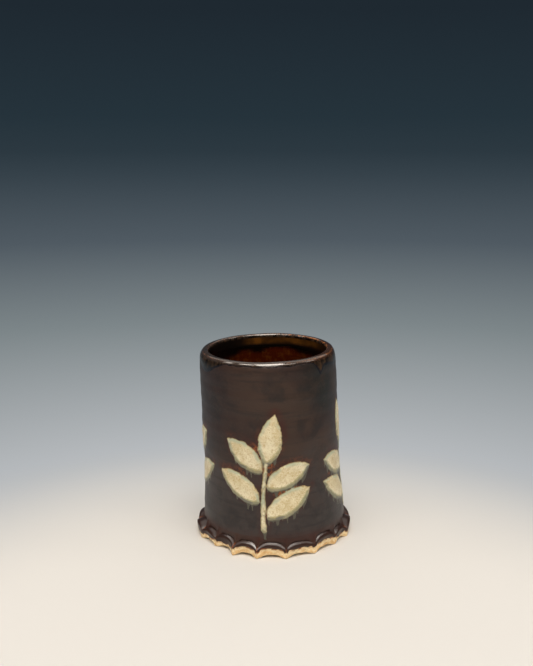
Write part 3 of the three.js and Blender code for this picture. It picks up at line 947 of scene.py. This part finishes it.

# Studio
# A pale sheet of paper lies under the cup, and further off a painted glow on the floor fades to blue grey,
# a painted falloff of the light. One bright soft box hangs above the front, with small weak ones in front and
# at both sides, a large weak one behind, and even light all round.

FLOOR_HALF = 6.0
FLOOR_SQUARES = 24
FLOOR_DROP = 0.00005
PAPER = (0.651, 0.637, 0.613, 1.0)
FADE_CENTRE = (0.0, -0.16, 0.0)
FADE_REACH = 0.314
FADE_START = 0.14
FADE_FULL = 0.30
BACKDROP_LOW = (0.0365, 0.0535, 0.0675, 1.0)
FADE_STOPS = [
    (0.15, (0.72, 0.675, 0.605, 1.0)), (0.31, (0.462, 0.482, 0.500, 1.0)), (0.76, (0.205, 0.238, 0.250, 1.0)),
    (1.70, (0.080, 0.102, 0.122, 1.0)), (6.10, BACKDROP_LOW),
]


def watched(start):
    """1 for a ray from the camera, or one that a gloss or clear surface passes on to it, and else 0."""
    rays = [start.node("ShaderNodeLightPath", {}, {}, output=f"Is {kind} Ray")
            for kind in ("Camera", "Glossy", "Transmission")]
    return start.computed("MAXIMUM", start.computed("MAXIMUM", rays[0], rays[1]), rays[2])


bm = bmesh.new()
bmesh.ops.create_grid(bm, x_segments=FLOOR_SQUARES, y_segments=FLOOR_SQUARES, size=FLOOR_HALF)
bmesh.ops.translate(bm, verts=bm.verts, vec=(0.0, 0.0, -FLOOR_DROP))
floor = shown("studio_floor", bm)
floor_paper_painted_falloff, floor_shader, place = new_finish("floor_paper_painted_falloff")
# Further off, the floor is a painted glow for camera and gloss rays that fades with distance: a painted
# falloff of the light.
from_centre = place.node("ShaderNodeVectorMath", {"operation": "SUBTRACT"}, {0: place, 1: FADE_CENTRE})
distance = place.node("ShaderNodeVectorMath", {"operation": "LENGTH"}, {0: from_centre}, output=1)
nearness = distance.computed("DIVIDE", 1.0, distance + FADE_REACH)
fade = nearness.through([(1.0 / (reach + FADE_REACH), colour) for reach, colour in FADE_STOPS])
floor_shader.inputs["Base Color"].default_value = PAPER
floor_shader.inputs["Roughness"].default_value = 0.7
floor_shader.inputs["Specular IOR Level"].default_value = 0.0
glow = place.node("ShaderNodeEmission", {}, {"Color": fade})
faded = distance.eased(FADE_START, FADE_FULL) * watched(place)
paper = Wash(floor_shader.outputs[0])
floor_surface = place.node("ShaderNodeMixShader", {}, {0: faded, 1: paper, 2: glow})
floor_surface.feeds(floor_paper_painted_falloff.node_tree.nodes["Material Output"], "Surface")
floor.data.materials.append(floor_paper_painted_falloff)

ROOM_LIGHT = (0.25, 0.25, 0.25, 1.0)
BACKDROP_STOPS = [
    (-0.035, BACKDROP_LOW), (-0.010, (0.0255, 0.0405, 0.0525, 1.0)), (0.028, (0.0190, 0.0330, 0.0440, 1.0)),
    (0.142, (0.0137, 0.0222, 0.0307, 1.0)),
]

world = bpy.data.worlds.new("studio_room")
world.use_nodes = True
bpy.context.scene.world = world
background = world.node_tree.nodes["Background"]
direction = Wash(world.node_tree.nodes.new("ShaderNodeTexCoord").outputs["Generated"])
backdrop = direction.height().through(BACKDROP_STOPS)
watched(direction).tint(ROOM_LIGHT, backdrop).feeds(background, "Color")

LAMP_COLOUR = (1.0, 0.93, 0.845)
LAMP_TARGET = (0.0, 0.0, 0.05)
SOFT_BOXES = [
    ("soft_box_above", (0.0, -0.44, 1.13), 0.62, 0.70, 10.5),
    ("soft_box_front", (0.0, -0.90, 0.80), 0.50, 0.25, 0.9),
    ("soft_box_left", (-0.48, -0.36, 1.04), 0.30, 0.34, 1.7),
    ("soft_box_right", (0.48, -0.36, 1.04), 0.30, 0.34, 1.7),
    ("soft_box_far_left", (-0.82, -0.05, 0.88), 0.25, 0.25, 0.9),
    ("soft_box_far_right", (0.82, -0.05, 0.88), 0.25, 0.25, 0.9),
    ("soft_box_back", (0.0, 0.70, 1.20), 1.80, 1.20, 3.4),
]

for name, spot, width, depth, watts in SOFT_BOXES:
    light = bpy.data.lights.new(name, "AREA")
    light.shape = "RECTANGLE"
    light.size = width
    light.size_y = depth
    light.energy = watts
    light.color = LAMP_COLOUR
    soft_box = bpy.data.objects.new(name, light)
    soft_box.location = spot
    aim = np.array(LAMP_TARGET) - np.array(spot)
    tilt = math.atan2(np.hypot(aim[0], aim[1]), -aim[2])
    heading = math.atan2(aim[0], -aim[1]) + math.pi
    soft_box.rotation_euler = (tilt, 0.0, heading)
    bpy.context.scene.collection.objects.link(soft_box)

# Camera
# The photograph's place and angle, level and with the whole cup in the lower middle of an upright frame.

CAMERA_PLACE = (-0.00392, -0.47429, 0.22565)
CAMERA_DOWN = 0.2216
FOCAL_PIXELS = 847.26
IMAGE_HEIGHT = 666
SENSOR = 36.0

lens = bpy.data.cameras.new("camera")
lens.sensor_fit = "VERTICAL"
lens.sensor_height = SENSOR
lens.lens = FOCAL_PIXELS / IMAGE_HEIGHT * SENSOR
camera = bpy.data.objects.new("camera", lens)
camera.location = CAMERA_PLACE
camera.rotation_euler = (math.pi / 2 - CAMERA_DOWN, 0.0, 0.0)
bpy.context.scene.collection.objects.link(camera)
bpy.context.scene.camera = camera
bpy.context.scene.view_settings.view_transform = "Standard"
